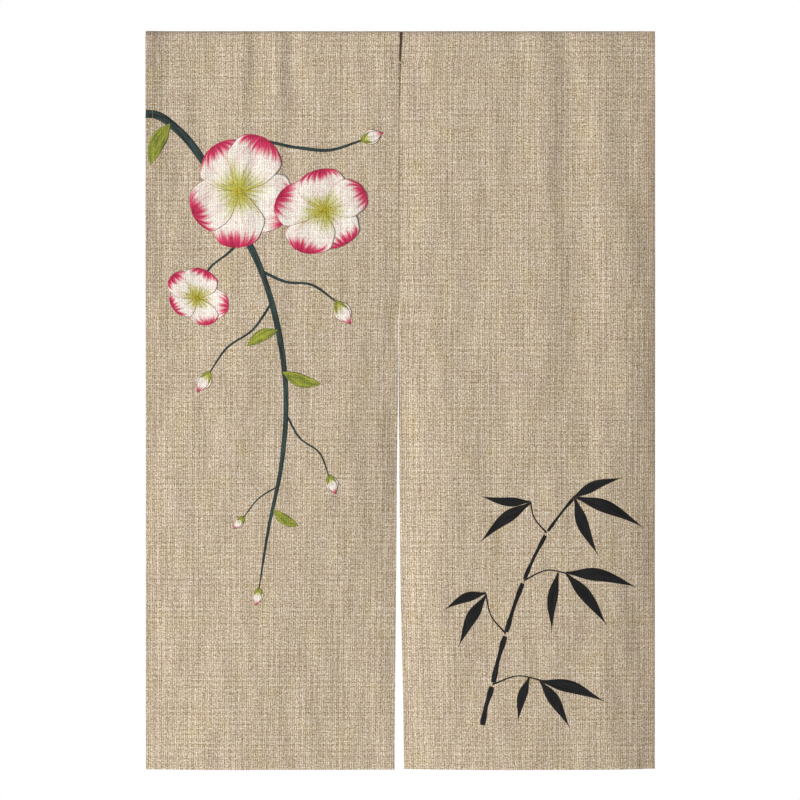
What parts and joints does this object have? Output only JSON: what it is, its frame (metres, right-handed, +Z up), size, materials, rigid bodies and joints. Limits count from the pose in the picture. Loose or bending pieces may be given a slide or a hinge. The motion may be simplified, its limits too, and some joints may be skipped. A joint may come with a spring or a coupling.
{
  "type": "noren curtain",
  "caption": "Split door curtain of linen-look cloth panels, sewn together at the top and open below, with a rod pocket along its top edge.",
  "frame": {"origin": "centre of the top edge, on the line where a rod's top would carry the two sleeves", "axes": "+X to the right along the top edge as seen from the front, +Z up, and the printed front faces -Y; the cloth hangs to negative Z"},
  "size_m": [0.85, 0.0234, 1.233],
  "materials": {
    "printed_linen": "natural beige plain-weave linen-look cloth with slubs, a soft print of flowers on one panel and black brush strokes on the other",
    "heading_linen": "the same natural beige plain-weave cloth, unprinted, turned over and sewn down as a sleeve"
  },
  "bodies": {
    "root": {"panel_left": "printed_linen", "panel_right": "printed_linen", "heading_left": "heading_linen", "heading_right": "heading_linen"}
  },
  "joints": []
}
